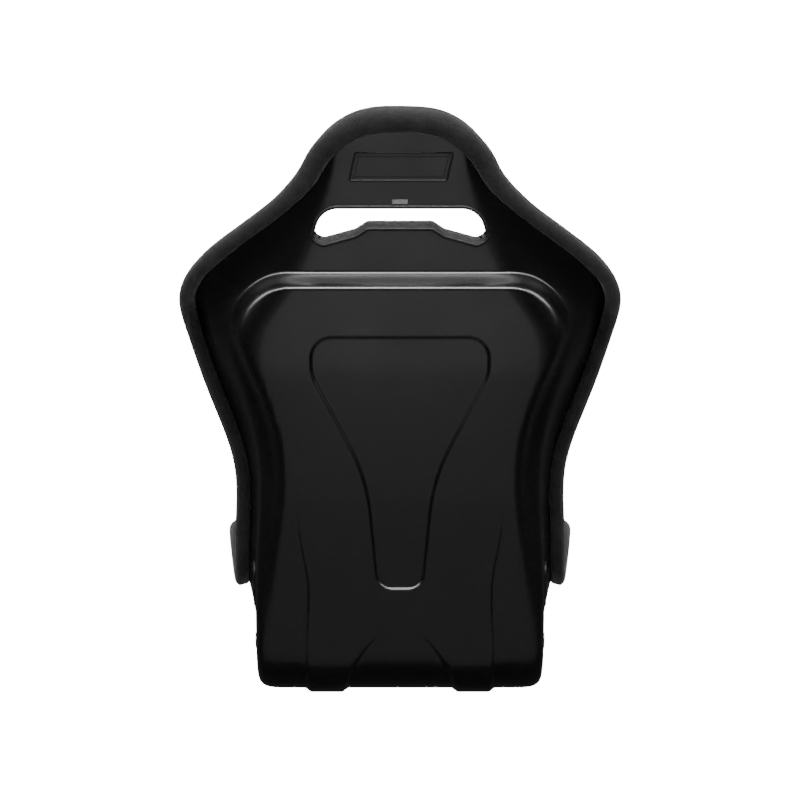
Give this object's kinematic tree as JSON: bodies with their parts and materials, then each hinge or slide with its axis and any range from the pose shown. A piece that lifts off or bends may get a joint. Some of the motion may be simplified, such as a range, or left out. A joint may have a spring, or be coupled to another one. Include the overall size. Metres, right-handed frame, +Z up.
{
  "type": "fixed-back racing seat",
  "caption": "Fixed-back moulded bucket seat with padded edge roll, belt slots, side mounting inserts and lift-off cushions.",
  "frame": {"origin": "on the floor, midway along and across the seat's box", "axes": "+X to the sitter's left, seat facing -Y, +Z up"},
  "size_m": [0.6084, 0.7297, 0.7994],
  "materials": {
    "shell_gloss": "gloss black laminate, polished outside",
    "edge_fabric": "matte dark grey woven cover over foam",
    "cushion_fabric": "matte dark grey woven cover over foam",
    "liner": "matte cloth-faced foam",
    "bezel": "matte black",
    "hook_tape": "matte black hook tape",
    "steel": "zinc plated",
    "tag": "plain woven tag"
  },
  "bodies": {
    "seat": {"shell": "shell_gloss", "edge_roll": "edge_fabric", "foam_liner": "liner", "shoulder_slot_bezel": "bezel", "lap_slot_bezel_left": "bezel", "lap_slot_bezel_right": "bezel", "crotch_slot_bezel": "bezel", "side_plate_left": "steel", "side_plate_right": "steel", "mount_insert_front_left": "steel", "mount_insert_front_right": "steel", "mount_insert_rear_left": "steel", "mount_insert_rear_right": "steel", "shoulder_bolster_left": "cushion_fabric", "shoulder_bolster_right": "cushion_fabric", "torso_bolster_left": "cushion_fabric", "torso_bolster_right": "cushion_fabric", "thigh_bolster_left": "cushion_fabric", "thigh_bolster_right": "cushion_fabric", "hook_strip_seat_front": "hook_tape", "hook_strip_seat_rear": "hook_tape", "hook_strip_leg": "hook_tape", "hook_strip_back_lower": "hook_tape", "hook_strip_back_upper": "hook_tape", "hook_strip_headrest": "hook_tape", "slot_tag": "tag"},
    "seat_cushion_body": {"seat_cushion": "cushion_fabric"},
    "leg_cushion_body": {"leg_cushion": "cushion_fabric"},
    "back_cushion_body": {"back_cushion": "cushion_fabric"},
    "headrest_body": {"headrest_pad": "cushion_fabric"}
  },
  "joints": [
    {"name": "seat_cushion_lift", "type": "slide", "parent": "seat", "child": "seat_cushion_body", "axis": [0, -0.5, 0.866], "range_m": [0, 0.09]},
    {"name": "leg_cushion_lift", "type": "slide", "parent": "seat", "child": "leg_cushion_body", "axis": [0, 0, 1], "range_m": [0, 0.1]},
    {"name": "back_cushion_lift", "type": "slide", "parent": "seat", "child": "back_cushion_body", "axis": [0, -0.9636, 0.2672], "range_m": [0, 0.1]},
    {"name": "headrest_lift", "type": "slide", "parent": "seat", "child": "headrest_body", "axis": [0, -0.9478, 0.3187], "range_m": [0, 0.1]}
  ]
}
